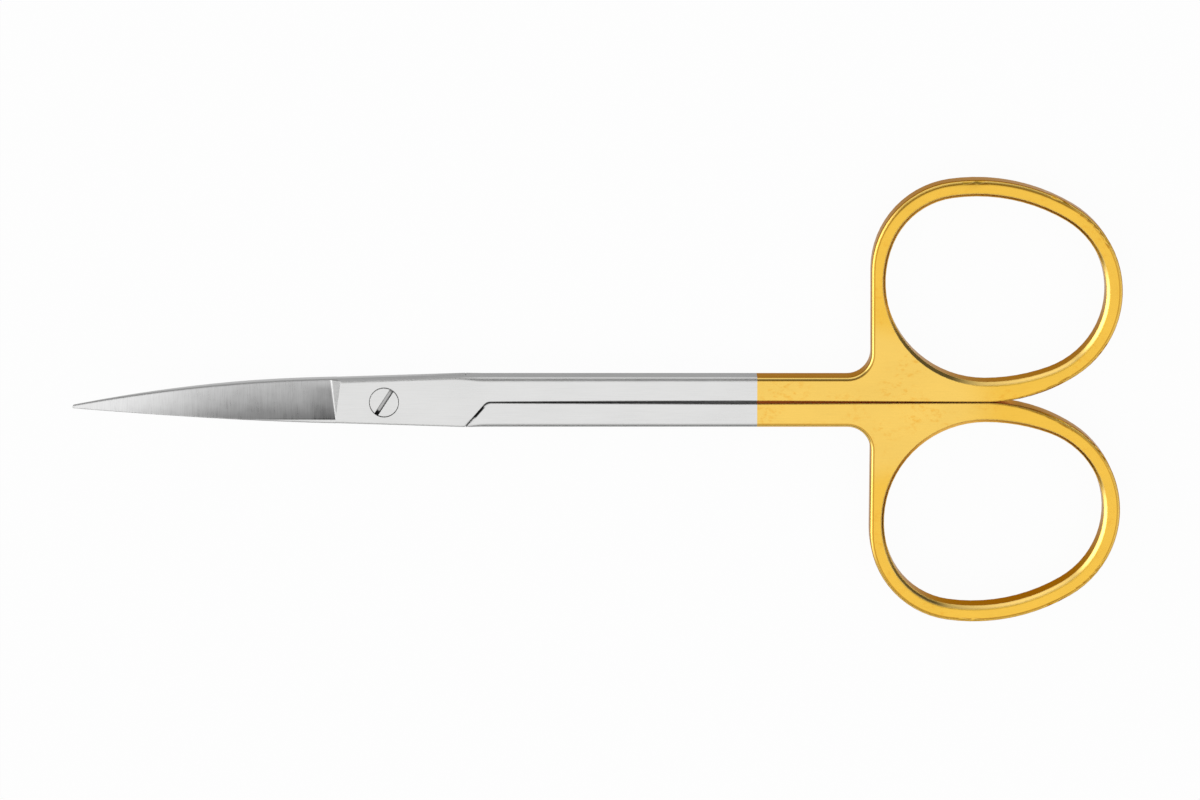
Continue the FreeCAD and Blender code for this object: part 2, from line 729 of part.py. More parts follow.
def finish_half(doc, name, handle, blade, cuts, s):
    """Breaks the finger hole's rims, rounds the handle's outline and joins the blade to it. Then
    the blade is ground, the joint drilled, and the rebate cut that the insert fills."""
    doc.recompute()
    chamfer = doc.addObject("Part::Chamfer", name + "_rims")
    chamfer.Base = handle
    size = s.rim_chamfer.value
    chamfer.Edges = [(number, size, size) for number in rim_edges(as_drawn(handle, handle))]
    doc.recompute()
    rounded = doc.addObject("Part::Fillet", name + "_rounded")
    rounded.Base = chamfer
    rounded.Edges = outline_edges(as_drawn(chamfer, handle), s)
    half = doc.addObject("Part::MultiFuse", name + "_joined")
    half.Shapes = [rounded, blade]
    for cut in cuts:
        before = half
        half = doc.addObject("Part::Cut", name + "_less_" + cut.Label)
        half.Base = before
        half.Tool = cut
    half.Label = name
    return half


def check(doc, parts):
    """Stops at any failed feature, loose sketch or broken solid."""
    for item in doc.Objects:
        if "Invalid" in item.State or "Error" in item.State:
            raise RuntimeError(f"{item.Name} failed: {item.State}")
        if item.TypeId == "Sketcher::SketchObject" and not item.FullyConstrained:
            raise RuntimeError(f"{item.Name} is not tied down")
    for part in parts:
        if part.Shape.isNull() or not part.Shape.isValid() or len(part.Shape.Solids) != 1:
            raise RuntimeError(f"{part.Label} is not one valid solid")


def main():
    doc = FreeCAD.newDocument("scissors")
    s = make_sheet(doc)
    front_handle = forge_handle(doc, "front", s)
    front_blade = forge_blade(doc, "front", 1, s)
    front_grinding = make_grinding(doc, "front", 1, s)
    front_drilling = start_body(doc, "front_drilling")
    add_drilling(front_drilling, "front_bore", s.shank_radius + s.bore_gap, s)
    add_drilling(front_drilling, "front_head_recess", s.head_radius + s.head_gap, s,
                 from_height=s.joint_thick - s.head_thick - s.head_gap)
    front_insert = make_insert(doc, "front_carbide_edge", 1, s)
    rear_handle = forge_handle(doc, "rear", s)
    rear_blade = forge_blade(doc, "rear", -1, s)
    rear_grinding = make_grinding(doc, "rear", -1, s)
    rear_drilling = start_body(doc, "rear_drilling")
    add_drilling(rear_drilling, "rear_thread", s.thread_radius + s.thread_gap, s)
    rear_insert = make_insert(doc, "rear_carbide_edge", -1, s)
    for body in (rear_handle, rear_blade, rear_grinding, rear_drilling, rear_insert):
        turn_over(body, s)
    screw = make_screw(doc, "pivot_screw", s)
    front_half = finish_half(doc, "front_half", front_handle, front_blade,
                             (front_grinding, front_drilling, front_insert), s)
    rear_half = finish_half(doc, "rear_half", rear_handle, rear_blade,
                            (rear_grinding, rear_drilling, rear_insert), s)
    doc.recompute()
    parts = [front_half, rear_half, front_insert, rear_insert, screw]
    check(doc, parts)
    os.makedirs("parts", exist_ok=True)
    for part in parts:
        part.Shape.exportStep(f"parts/{part.Label}.step")
        box = part.Shape.BoundBox
        print(part.Label, round(part.Shape.Volume, 2), "mm3", [round(v, 2) for v in (
            box.XMin, box.XMax, box.YMin, box.YMax, box.ZMin, box.ZMax)])


if __name__ == "__main__":
    main()
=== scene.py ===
"""Fine operating scissors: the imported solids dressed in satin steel, ground steel and gold."""

import math

import bmesh
import bpy
from mathutils import Matrix, Vector


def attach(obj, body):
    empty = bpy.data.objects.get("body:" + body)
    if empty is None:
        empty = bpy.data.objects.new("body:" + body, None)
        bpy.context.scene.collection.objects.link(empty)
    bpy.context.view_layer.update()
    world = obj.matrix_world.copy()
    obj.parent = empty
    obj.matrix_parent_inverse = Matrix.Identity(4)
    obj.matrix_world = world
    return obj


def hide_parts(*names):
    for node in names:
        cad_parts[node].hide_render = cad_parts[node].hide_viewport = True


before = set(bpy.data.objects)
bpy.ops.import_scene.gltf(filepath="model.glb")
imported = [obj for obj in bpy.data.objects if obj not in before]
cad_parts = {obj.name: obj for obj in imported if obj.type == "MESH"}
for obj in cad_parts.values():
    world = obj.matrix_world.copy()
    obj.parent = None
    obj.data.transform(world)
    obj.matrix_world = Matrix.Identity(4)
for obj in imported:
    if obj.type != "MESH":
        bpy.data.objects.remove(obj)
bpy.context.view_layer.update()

bl_info = {
    "name": "Operating Scissors",
    "version": (1, 0, 0),
    "blender": (4, 5, 0),
    "location": "3D View > Sidebar > Scissors",
    "description": "Dresses a pair of fine operating scissors in steel and gold plate",
    "category": "Object",
}

FRONT_BODY = "front_arm"
REAR_BODY = "rear_arm"

MM = 0.001

# Places and sizes in millimetres. The pivot is the Z axis, and the tips point to -X.
SEAT_RADIUS = 1.8              # the hole for the screw's head lies within this
BLADE_ROOT = -5                # a blade's own faces are beyond this
STEP_END = -7                  # and the step at its root is before this
BEND_START = -9.21             # the blades rise from here to the tips
BEND_RADIUS = 68.2             # on this radius
SHOULDER_POINT = (11.03, -0.556)    # one end of the joint's slanted shoulder
SHOULDER_WAY = (0.656, 0.755)       # and the way that it runs
SCREW_SLOT = (3, 3.7)          # the slot's floor and walls lie between these heights
SCREW_INSIDE = 1.5             # and within this radius
SCREW_HEAD_LOW = 2             # the screw's head is above this
SLOT_ANGLE = 57                # degrees from +X to the slot
FLOOR_DROP = 0.05              # the floor lies this far below the scissors
FLOOR_HALF = 1500              # half of the floor's width

# How upright a face stands is kept in its "side" attribute: 0 on a flat face, 1 on a wall.
UPRIGHT = 0.5                  # a normal's height below this makes a face a wall

# The order of the finishes in each half's material slots
STEEL, GROUND, GOLD, STEP, SEAT, HONED_SHADE = range(6)

# Painted shade for the dark line along the joint's slanted shoulder
SHOULDER_SHADE = (0.02, 0.02, 0.02, 1.0)
# Painted shade in the screw's slot
SLOT_SHADE = (0.01, 0.01, 0.01, 1.0)
WHITE = (1.0, 1.0, 1.0, 1.0)

# The room near the horizon: the way to each soft patch, how closely a ray has to point that way
# for it to start and to be full, and how much light it adds or takes.
ROOM = (
    ((-0.25, 1, 0.1), 0.75, 0.97, 0.5),        # a light wall beyond the upper ring
    ((0.7, 0.7, 0.15), 0.5, 0.95, -0.45),      # a dark one behind the rings
    ((0.1, -1, 0.25), 0.4, 0.95, -0.4),        # a dark one on the near side
    ((-0.7, -0.7, 0.1), 0.7, 0.97, -0.35),     # and one between that and the tips
)


# Shader nodes

class Value:
    """A number or colour that a shader node gives. Expressions on numbers add Math nodes."""

    def __init__(self, surface, socket):
        self.surface = surface
        self.socket = socket

    def math(self, operation, *values):
        return self.surface.add("ShaderNodeMath", {"operation": operation},
                                dict(enumerate(values)))

    def __add__(self, other):
        return self.math("ADD", self, other)

    __radd__ = __add__

    def __sub__(self, other):
        return self.math("SUBTRACT", self, other)

    def __rsub__(self, other):
        return self.math("SUBTRACT", other, self)

    def __mul__(self, other):
        return self.math("MULTIPLY", self, other)

    __rmul__ = __mul__

    def __truediv__(self, other):
        return self.math("DIVIDE", self, other)

    def step_up(self, start, end):
        """0 below start, 1 above end, and smooth between."""
        return self.surface.add("ShaderNodeMapRange", {"interpolation_type": "SMOOTHSTEP"},
                                {"Value": self, "From Min": start, "From Max": end})

    def size(self):
        """The number without its sign."""
        return self.math("ABSOLUTE", self)

    def at_least(self, least):
        return self.math("MAXIMUM", self, least)

    def output(self, name):
        """Another output of the same node."""
        return Value(self.surface, self.socket.node.outputs[name])


class Surface:
    """The nodes of one material, or of the world."""

    def __init__(self, tree):
        self.tree = tree
        tree.nodes.clear()

    def add(self, kind, settings=None, values=None):
        """One node with its settings, and with the numbers, colours or links of its inputs."""
        node = self.tree.nodes.new(kind)
        for key, setting in (settings or {}).items():
            setattr(node, key, setting)
        for key, value in (values or {}).items():
            if isinstance(value, Value):
                self.tree.links.new(value.socket, node.inputs[key])
            else:
                node.inputs[key].default_value = value
        return Value(self, node.outputs[0] if node.outputs else None)

    def place(self, scale=(1, 1, 1)):
        """Object coordinates in millimetres, divided by a feature's size along each axis."""
        spot = self.add("ShaderNodeTexCoord").output("Object")
        factor = tuple(1 / (size * MM) for size in scale)
        return self.add("ShaderNodeVectorMath", {"operation": "MULTIPLY"}, {0: spot, 1: factor})

    def along(self, axis):
        """Object coordinate along one axis, in millimetres."""
        return self.add("ShaderNodeSeparateXYZ", None, {0: self.place()}).output(axis)

    def noise(self, scale, detail=2.0, roughness=0.5):
        """Soft noise whose features have the given sizes in millimetres."""
        return self.add("ShaderNodeTexNoise", {"noise_dimensions": "3D"}, {
            "Vector": self.place(scale), "Scale": 1.0, "Detail": detail, "Roughness": roughness})

    def blend(self, factor, first, second):
        """A colour between two: the first where the factor is 0."""
        mix = self.add("ShaderNodeMix", {"data_type": "RGBA"}, {0: factor, 6: first, 7: second})
        return mix.output(2)

    def scaled(self, colour, factor):
        """A colour made darker or lighter by a number that varies."""
        if not isinstance(colour, Value):
            colour = tuple(colour[:3])
        return self.add("ShaderNodeVectorMath", {"operation": "SCALE"},
                        {0: colour, "Scale": factor})

    def dot(self, way, other):
        """How far along one direction a point or a ray goes."""
        direction = tuple(Vector(other).normalized())
        return self.add("ShaderNodeVectorMath", {"operation": "DOT_PRODUCT"},
                        {0: way, 1: direction}).output("Value")

    def mix(self, factor, first, second):
        """A shader between two: the first where the factor is 0."""
        return self.add("ShaderNodeMixShader", None, {0: factor, 1: first, 2: second})

    def finish(self, shader, kind="ShaderNodeOutputMaterial"):
        self.add(kind, None, {"Surface": shader})


def new_surface(name):
    material = bpy.data.materials.new(name)
    material.use_nodes = True
    return material, Surface(material.node_tree)


def shade(colour, factor=1):
    """A colour with its alpha, made darker or lighter."""
    return tuple(min(channel * factor, 1.0) for channel in colour[:3]) + (1.0,)


def metal_shader(surface, look, colour, rough, height, rounding, edge_shade=None):
    """Bare metal with a relief height and an edge rounding, both in millimetres. Edges along the
    length can be darkened with painted shade, with one share for those that lean to -Y and one for
    +Y."""
    rounded = surface.add("ShaderNodeBevel", {"samples": 4}, {"Radius": rounding * MM})
    if edge_shade is not None:
        turned = surface.add("ShaderNodeVectorTransform", {
            "vector_type": "NORMAL", "convert_from": "WORLD", "convert_to": "OBJECT"},
            {0: rounded})
        tilt = surface.add("ShaderNodeSeparateXYZ", None, {0: turned}).output("Y")
        to_minus, to_plus = edge_shade
        shaded = (tilt * -1).step_up(0.03, 0.45) * to_minus + tilt.step_up(0.08, 0.5) * to_plus
        colour = surface.scaled(colour, 1 - shaded)
    relief = surface.add("ShaderNodeBump", None, {
        "Height": height, "Strength": 1.0, "Distance": MM, "Normal": rounded})
    surface.finish(surface.add("ShaderNodeBsdfPrincipled", None, {
        "Base Color": colour, "Metallic": 1.0, "Roughness": rough, "Normal": relief,
        "Specular Tint": shade(look.grazing_tint)}))


def blade_level(surface):
    """Height above the lying plane with the blades' bend taken out, in millimetres."""
    beyond = (surface.along("X") * -1 + BEND_START).at_least(0)
    return surface.along("Z") - beyond * beyond / (2 * BEND_RADIUS)


def shoulder_shade(surface):
    """A painted shade line on the upper face, along the joint's slanted shoulder."""
    x = surface.along("X") - SHOULDER_POINT[0]
    y = surface.along("Y") - SHOULDER_POINT[1]
    off = y * SHOULDER_WAY[0] - x * SHOULDER_WAY[1]
    reach = y.step_up(-1.35, -1.0) * (1 - y.step_up(-0.1, 0.15))
    on_top = surface.along("Z").step_up(3, 3.5)
    return (1 - (off - 0.09).size().step_up(0.06, 0.16)) * reach * on_top


def plate_colours(surface, look, side, on_face):
    """Colours of the gold plate's faces and walls, and the rounding of its edges, with a painted
    highlight and a thin painted shade line on the edges' rounding and painted shade on the walls.
    """
    out_x, out_y = (surface.along("X") - 50) / 15, surface.along("Y") / 8
    on_ring = (out_x * out_x + out_y * out_y).step_up(0.7, 1.5)
    face = surface.blend(on_ring, shade(look.colour), shade(look.ring_colour))
    spots = surface.noise((0.7, 0.5, 0.5), detail=4.0, roughness=0.65).step_up(0.5, 0.7)
    region = surface.noise((5, 4, 4), detail=1.0).step_up(0.4, 0.65)
    stains = spots * region * on_face * 0.55
    face = surface.blend(stains, face, shade(look.stain_colour))
    # Painted highlight: the upper part of each edge's rounding is painted a paler, brighter gold
    edges = side.step_up(0.1, 0.25) * (1 - side.step_up(0.35, 0.5))
    face = surface.blend(edges * 0.8, face, shade(look.edge_highlight_colour))
    # Painted shade: a thin dark line where the rounding meets the face
    line = side.step_up(0.008, 0.02) * (1 - side.step_up(0.05, 0.1))
    face = surface.blend(line * 0.8, face, shade(look.shade_line_colour))
    # Painted shade on the walls, painted lighter near the parting line between the halves
    inner = 1 - surface.along("Y").size().step_up(0.2, 0.4)
    wall = surface.blend(inner, shade(look.side_shade_colour), shade(look.side_shade_colour, 2.2))
    return face, wall, on_ring * 0.25 + 0.1


def steel_colours(surface, look):
    """Colours of the satin steel's faces and walls, and the rounding of its edges. The walls'
    darker colour is painted shade, painted lighter low on the blades' walls.
    """
    # Painted shade: a dark line along the joint's shoulder
    face = surface.blend(shoulder_shade(surface), shade(look.colour), SHOULDER_SHADE)
    # Painted light: low on the blades' walls the side colour is lighter
    below = 1 - blade_level(surface).step_up(0.9, 1.8)
    ahead = 1 - surface.along("X").step_up(2, 9)
    wall = surface.blend(below * ahead, shade(look.side_shade_colour), shade(look.side_shade_colour, 1.7))
    return face, wall, surface.along("Y").size().step_up(1.6, 2.0) * 0.22 + 0.07


def satin_metal(name, look, grain, relief, plated=False):
    """A worked metal: a fine grain on the faces, soft clouds and slight stains, duller walls
    darkened with painted shade, and edges that are polished smoother than the faces, with a
    painted highlight on the gold."""
    material, surface = new_surface(name)
    side = surface.add("ShaderNodeAttribute", {"attribute_name": "side"}).output("Fac")
    on_face = 1 - side.step_up(0.01, 0.2)
    lines = surface.noise(grain, detail=3.0, roughness=0.6)
    clouds = surface.noise((7, 4, 4), detail=3.0)
    tone = (lines - 0.5) * look.grain_contrast + (clouds - 0.5) * look.cloud_contrast + 1
    if plated:
        face, wall, rounding = plate_colours(surface, look, side, on_face)
        on_wall, edge_shade = side.step_up(0.38, 0.65), None
    else:
        face, wall, rounding = steel_colours(surface, look)
        # Painted shade on edges along the length, more where they lean to -Y
        on_wall, edge_shade = side.step_up(0.75, 1.0), (0.42, 0.16)
    colour = surface.blend(on_wall, surface.scaled(face, tone), wall)
    rough = on_face * (look.roughness - look.edge_roughness) + look.edge_roughness
    rough = rough + on_wall * 0.08 + (clouds - 0.5) * 0.1 + (lines - 0.5) * on_face * 0.1
    height = lines * (on_face * 0.8 + 0.2) * relief
    metal_shader(surface, look, colour, rough, height, rounding, edge_shade)
    return material


def ground_metal(name, look, turn):
    """The hollow-ground outer face of a blade: fine lines across it, a few deeper scratches, a
    soft hollow between its back and its cutting edge, painted light towards the tip, and painted
    shade at the root, towards the back and in a thin line near the back. turn is the side of the
    cutting edge."""
    material, surface = new_surface(name)
    lines = surface.noise((0.07, 2.5, 2.5), detail=3.0, roughness=0.65)
    scratches = surface.noise((0.22, 1.6, 1.6)).step_up(0.55, 0.8)
    clouds = surface.noise((1.8, 1.2, 1.2), detail=3.0)
    ahead = surface.along("X") * -1
    across = surface.along("Y") * turn
    tip = ahead.step_up(16.5, 24)
    root = (1 - ahead.step_up(6.6, 9.2)) * (1 - across.step_up(1.1, 2.1))
    spine = (1 - across.step_up(-1.9, 0.3)) * (1 - tip * 0.4)
    # Painted shadow: a thin dark line near the back of the ground face
    shadow_line = (1 - (across + 1.84).size().step_up(0.02, 0.08)) * (1 - ahead.step_up(12.5, 14))
    tone = (lines - 0.5) * look.grain_contrast + (clouds - 0.5) * look.cloud_contrast + 1
    # Painted light towards the tip; painted shade at the root, towards the back and along the thin
    # line
    tone = tone - scratches * 0.1 + tip * 0.12 - root * 0.24 - spine * 0.22 - shadow_line * 0.3
    colour = surface.scaled(look.colour, tone)
    rough = (clouds - 0.5) * 0.12 + (lines - 0.5) * 0.15 + look.roughness
    from_back = across + 2.3
    height = lines * 0.0012 - scratches * 0.002 + from_back * from_back * look.hollow
    # Painted shade on the edge along the back
    edge_shade = (0.45, 0) if turn > 0 else (0, 0.45)
    metal_shader(surface, look, colour, rough, height, 0.16, edge_shade)
    return material


def dull_metal(name, look, factor, grain, extra=None):
    """A plain darker metal with its own grain, for the step, the screw's seat and the hard
    edges. The darkness is painted shade, except on the carbide. extra adds painted light and shade
    of its own."""
    material, surface = new_surface(name)
    lines = surface.noise(grain, detail=3.0, roughness=0.6)
    clouds = surface.noise((0.8, 0.8, 0.8))
    tone = (lines - 0.5) * 0.4 + (clouds - 0.5) * 0.3 + 1
    if extra is not None:
        tone = tone * extra(surface)
    colour = surface.scaled(shade(look.colour, factor), tone)
    metal_shader(surface, look, colour, (lines - 0.5) * 0.15 + 0.38, lines * 0.001, 0.1)
    return material


def foot_highlight(turn):
    """A painted highlight along the line where a blade's step meets the ground face."""
    def extra(surface):
        off = surface.along("X") + surface.along("Y") * (0.127 * turn) + 5.56
        return (1 - off.size().step_up(0.05, 0.17)) * 0.8 + 1.1
    return extra


def lit_rim(surface):
    """The screw's seat: painted light on the tips' side, painted shade towards the rings."""
    return surface.dot(surface.place(), (-0.8, 0.6, 0)).step_up(-0.6, 1.3) * 2.4 + 0.7


def slot_metal(look):
    """The slot's floor and walls: milled, with painted shade along both sides, deep at the lower
    end and lighter at the upper end.
    """
    material, surface = new_surface("slot_steel")
    lines = surface.noise((0.05, 0.5, 0.5))
    turn = math.radians(SLOT_ANGLE)
    along = surface.dot(surface.place(), (math.cos(turn), math.sin(turn), 0))
    across = surface.dot(surface.place(), (math.sin(turn), -math.cos(turn), 0))
    # Painted shade: the slot is darkened along both sides and towards both ends, most at the lower
    # end
    clean = along.step_up(-1.25, -1.0) * (1 - along.step_up(1.2, 1.5) * 0.6)
    middle = 1 - (across + 0.03).size().step_up(0.06, 0.22) * 0.75
    tone = clean * middle * 0.75 + (lines - 0.5) * 0.15
    colour = surface.blend(tone, SLOT_SHADE, shade(look.colour, 0.9))
    metal_shader(surface, look, colour, 0.4 - clean * 0.05, lines * 0.001, 0.05)
    return material


# Settings

def colour_setting(name, description, default):
    return bpy.props.FloatVectorProperty(name=name, description=description, default=default,
                                         subtype="COLOR", size=3, min=0, max=1)


def share_setting(name, description, default):
    return bpy.props.FloatProperty(name=name, description=description, default=default,
                                   subtype="FACTOR", min=0, max=1)


def strength_setting(name, description, default):
    return bpy.props.FloatProperty(name=name, description=description, default=default,
                                   subtype="UNSIGNED", min=0)


def place_setting(name, description, default):
    return bpy.props.FloatVectorProperty(name=name, description=description,
                                         default=tuple(value * MM for value in default),
                                         subtype="TRANSLATION", unit="LENGTH", size=3)


def group_setting(name, description, group):
    return bpy.props.PointerProperty(name=name, description=description, type=group)


class SteelSettings(bpy.types.PropertyGroup):
    """Satin steel of the shanks, the joint and the screw"""

    colour: colour_setting("Colour", "Colour of the satin steel", (0.77, 0.77, 0.765))
    # Painted shade: the steel walls take this darker grey
    side_shade_colour: colour_setting("Side colour", "Colour of the upright sides", (0.4, 0.4, 0.4))
    grazing_tint: colour_setting(
        "Grazing tint", "Tint of what is seen along the surface", (0.85, 0.85, 0.85))
    roughness: share_setting("Roughness", "How satin the faces are", 0.3)
    edge_roughness: share_setting("Edge roughness", "How satin the rounded edges are", 0.27)
    grain_contrast: share_setting("Grain", "How much the grain shows", 0.16)
    cloud_contrast: share_setting("Clouds", "How much soft clouds show", 0.14)


class GroundSettings(bpy.types.PropertyGroup):
    """Ground outer faces of the blades"""

    colour: colour_setting("Colour", "Colour of the ground blade", (0.76, 0.76, 0.76))
    grazing_tint: colour_setting(
        "Grazing tint", "Tint of what is seen along the surface", (0.85, 0.85, 0.85))
    roughness: share_setting("Roughness", "How dull the grinding is", 0.3)
    grain_contrast: share_setting("Grain", "How much the grinding lines show", 0.4)
    cloud_contrast: share_setting("Clouds", "How much soft clouds show", 0.2)
    hollow: share_setting("Hollow", "How hollow the face is ground, per millimetre", 0.017)


class GoldSettings(bpy.types.PropertyGroup):
    """Gold plate of the finger rings and the shank ends"""

    colour: colour_setting("Colour", "Colour of the gold plate", (0.94, 0.62, 0.135))
    ring_colour: colour_setting(
        "Ring colour", "Colour of the plate on the rings", (0.93, 0.56, 0.075))
    # Painted highlight on the gold's rounded edges
    edge_highlight_colour: colour_setting(
        "Edge colour", "Colour of the polished rounded edges", (1.0, 0.7, 0.22))
    # Painted shade: the thin dark line where an edge's rounding starts
    shade_line_colour: colour_setting(
        "Line colour", "Colour of the thin line where an edge's rounding starts",
        (0.5, 0.23, 0.022))
    # Painted shade: the gold walls take this dark brown
    side_shade_colour: colour_setting(
        "Side colour", "Colour of the upright sides", (0.25, 0.115, 0.014))
    stain_colour: colour_setting(
        "Stain colour", "Colour of the faint orange stains", (0.86, 0.42, 0.04))
    grazing_tint: colour_setting(
        "Grazing tint", "Tint of what is seen along the surface", (0.75, 0.42, 0.08))
    roughness: share_setting("Roughness", "How satin the faces are", 0.24)
    edge_roughness: share_setting("Edge roughness", "How satin the rounded edges are", 0.1)
    grain_contrast: share_setting("Grain", "How much the grain shows", 0.12)
    cloud_contrast: share_setting("Clouds", "How much soft clouds show", 0.15)
    start: bpy.props.FloatProperty(
        name="Start", description="Where the plating starts, from the pivot",
        default=40.9 * MM, subtype="DISTANCE", unit="LENGTH")


class ScissorsSettings(bpy.types.PropertyGroup):
    """Finishes of the whole instrument"""

    steel: group_setting("Steel", "Satin steel", SteelSettings)
    ground: group_setting("Ground steel", "Ground blade faces", GroundSettings)
    gold: group_setting("Gold", "Gold plating", GoldSettings)
    smooth_angle: bpy.props.FloatProperty(
        name="Smooth angle", description="Edges sharper than this stay sharp",
        default=math.radians(32), subtype="ANGLE", unit="ROTATION")


class StudioSettings(bpy.types.PropertyGroup):
    """Camera, floor and light"""

    view_point: place_setting("Camera", "Where the camera stands", (23.67, 109.48, 693.28))
    aim: place_setting("Aim", "What the camera looks at", (23.67, -0.02, 1.9))
    lens: bpy.props.FloatProperty(
        name="Lens", description="Focal length in millimetres, on a sensor 36 mm wide",
        default=191.1, subtype="DISTANCE_CAMERA", unit="CAMERA")
    floor_colour: colour_setting("Floor", "Colour of the floor", (0.85, 0.85, 0.85))
    overhead: strength_setting("Overhead", "Strength of the light from above", 1.0)
    low_sky: strength_setting("Low sky", "Strength of the light near the horizon", 0.55)
    left_light: strength_setting("Left light", "Strength of the light on the tips' side", 2.2)


# Pieces

def merged_copy(node):
    """The node's surface as one closed mesh, with its flat faces whole again."""
    shape = bmesh.new()
    shape.from_mesh(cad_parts[node].data)
    bmesh.ops.remove_doubles(shape, verts=shape.verts, dist=0.0005 * MM)
    bmesh.ops.dissolve_limit(shape, angle_limit=math.radians(0.4), verts=shape.verts,
                             edges=shape.edges)
    bmesh.ops.triangulate(shape, faces=[face for face in shape.faces if len(face.verts) > 4])
    return shape


def piece_from(shape, name, materials, smooth_angle):
    """A piece from a finished bmesh. It is smooth up to an angle and over one finish, and keeps
    how upright each face stands."""
    side = shape.faces.layers.float.new("side")
    for face in shape.faces:
        face.smooth = True
        face[side] = 1 - abs(face.normal.z)
    for edge in shape.edges:
        faces = edge.link_faces
        edge.smooth = (len(faces) == 2 and faces[0].material_index == faces[1].material_index
                       and edge.calc_face_angle(math.pi) < smooth_angle)
    mesh = bpy.data.meshes.new(name)
    shape.to_mesh(mesh)
    shape.free()
    for material in materials:
        mesh.materials.append(material)
    piece = bpy.data.objects.new(name, mesh)
    bpy.context.scene.collection.objects.link(piece)
    weighted = piece.modifiers.new("Even shading", "WEIGHTED_NORMAL")
    weighted.mode = "FACE_AREA"
    weighted.weight = 80
    weighted.keep_sharp = True
    return piece


class SCISSORS_OT_halves(bpy.types.Operator):
    """Makes both forged halves: satin shanks, ground blades and gold-plated finger rings"""

    bl_idname = "scissors.halves"
    bl_label = "Forged Halves"

    def execute(self, context):
        settings = context.scene.scissors
        look = settings.steel
        steel = satin_metal("satin_steel", look, (3.0, 0.07, 0.07), 0.0006)
        gold = satin_metal("gold_plate", settings.gold, (2.0, 0.09, 0.09), 0.0006, plated=True)
        # The seat is darker with painted shade, and painted lighter on the tips' side
        seat = dull_metal("seat_steel", look, 0.28, (0.5, 0.5, 0.05), lit_rim)
        # Painted shade on the blades' edge walls
        honed_shade = dull_metal("honed_edge_shade", look, 0.25, (0.05, 0.5, 0.5))
        for node, body, turn in (("front_half", FRONT_BODY, 1), ("rear_half", REAR_BODY, -1)):
            ground = ground_metal("ground_steel_" + body, settings.ground, turn)
            # The step is darker with painted shade, with a painted highlight along its foot
            step = dull_metal("step_steel_" + body, look, 0.5, (0.5, 0.07, 0.5),
                              foot_highlight(turn))
            shape = merged_copy(node)
            self.dress(shape, turn, settings.gold.start)
            piece = piece_from(shape, node + "_finish", (steel, ground, gold, step, seat, honed_shade),
                               settings.smooth_angle)
            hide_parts(node)
            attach(piece, body)
        return {"FINISHED"}

    def dress(self, shape, turn, gold_start):
        """Gives each face its finish. The plating ends on a clean line round each shank."""
        everything = list(shape.verts) + list(shape.edges) + list(shape.faces)
        bmesh.ops.bisect_plane(shape, geom=everything, plane_co=(gold_start, 0, 0),
                               plane_no=(1, 0, 0), dist=0.0001 * MM)
        for face in shape.faces:
            face.material_index = self.finish_of(face, turn, gold_start)

    def finish_of(self, face, turn, gold_start):
        """The finish of a face, from where it lies and which way it looks. turn is the side of
        the cutting edge, and 1 where the half's outer face looks up."""
        normal, centre = face.normal, face.calc_center_median()
        upright = abs(normal.z) < UPRIGHT
        outward, to_edge = normal.z * turn, normal.y * turn
        if centre.x > gold_start:
            return GOLD
        if upright and centre.xy.length < SEAT_RADIUS * MM:
            return SEAT
        if centre.x >= BLADE_ROOT * MM:
            return STEEL
        # The edge walls take a darker finish that is painted shade
        if upright and to_edge > 0.5:
            return HONED_SHADE
        if outward > 0.1 and normal.x < -0.3 and centre.x > STEP_END * MM:
            return STEP
        if outward > 0.5 and to_edge > 0.06:
            return GROUND
        return STEEL


class SCISSORS_OT_carbide_edges(bpy.types.Operator):
    """Gives the hard cutting edges their fine ground finish"""

    bl_idname = "scissors.carbide_edges"
    bl_label = "Carbide Edges"

    def execute(self, context):
        look = context.scene.scissors.steel
        carbide = dull_metal("carbide", look, 0.35, (0.05, 1.5, 1.5))
        for node in ("front_carbide_edge", "rear_carbide_edge"):
            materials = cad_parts[node].data.materials
            materials.clear()
            materials.append(carbide)
        return {"FINISHED"}


class SCISSORS_OT_pivot_screw(bpy.types.Operator):
    """Makes the slotted pivot screw"""

    bl_idname = "scissors.pivot_screw"
    bl_label = "Pivot Screw"

    def execute(self, context):
        settings = context.scene.scissors
        look = settings.steel
        steel = satin_metal("screw_steel", look, (1.5, 0.08, 0.08), 0.0005)
        slot = slot_metal(look)
        # The head's side: painted shade, painted lighter on the tips' side
        head_side = dull_metal("screw_side", look, 0.28, (0.5, 0.5, 0.05), lit_rim)
        low, high = SCREW_SLOT
        shape = merged_copy("pivot_screw")
        for face in shape.faces:
            centre = face.calc_center_median()
            if low * MM < centre.z < high * MM and centre.xy.length < SCREW_INSIDE * MM:
                face.material_index = 1
            elif centre.z > SCREW_HEAD_LOW * MM and abs(face.normal.z) < UPRIGHT:
                face.material_index = 2
        piece = piece_from(shape, "pivot_screw_finish", (steel, slot, head_side),
                           settings.smooth_angle)
        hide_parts("pivot_screw")
        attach(piece, REAR_BODY)
        return {"FINISHED"}


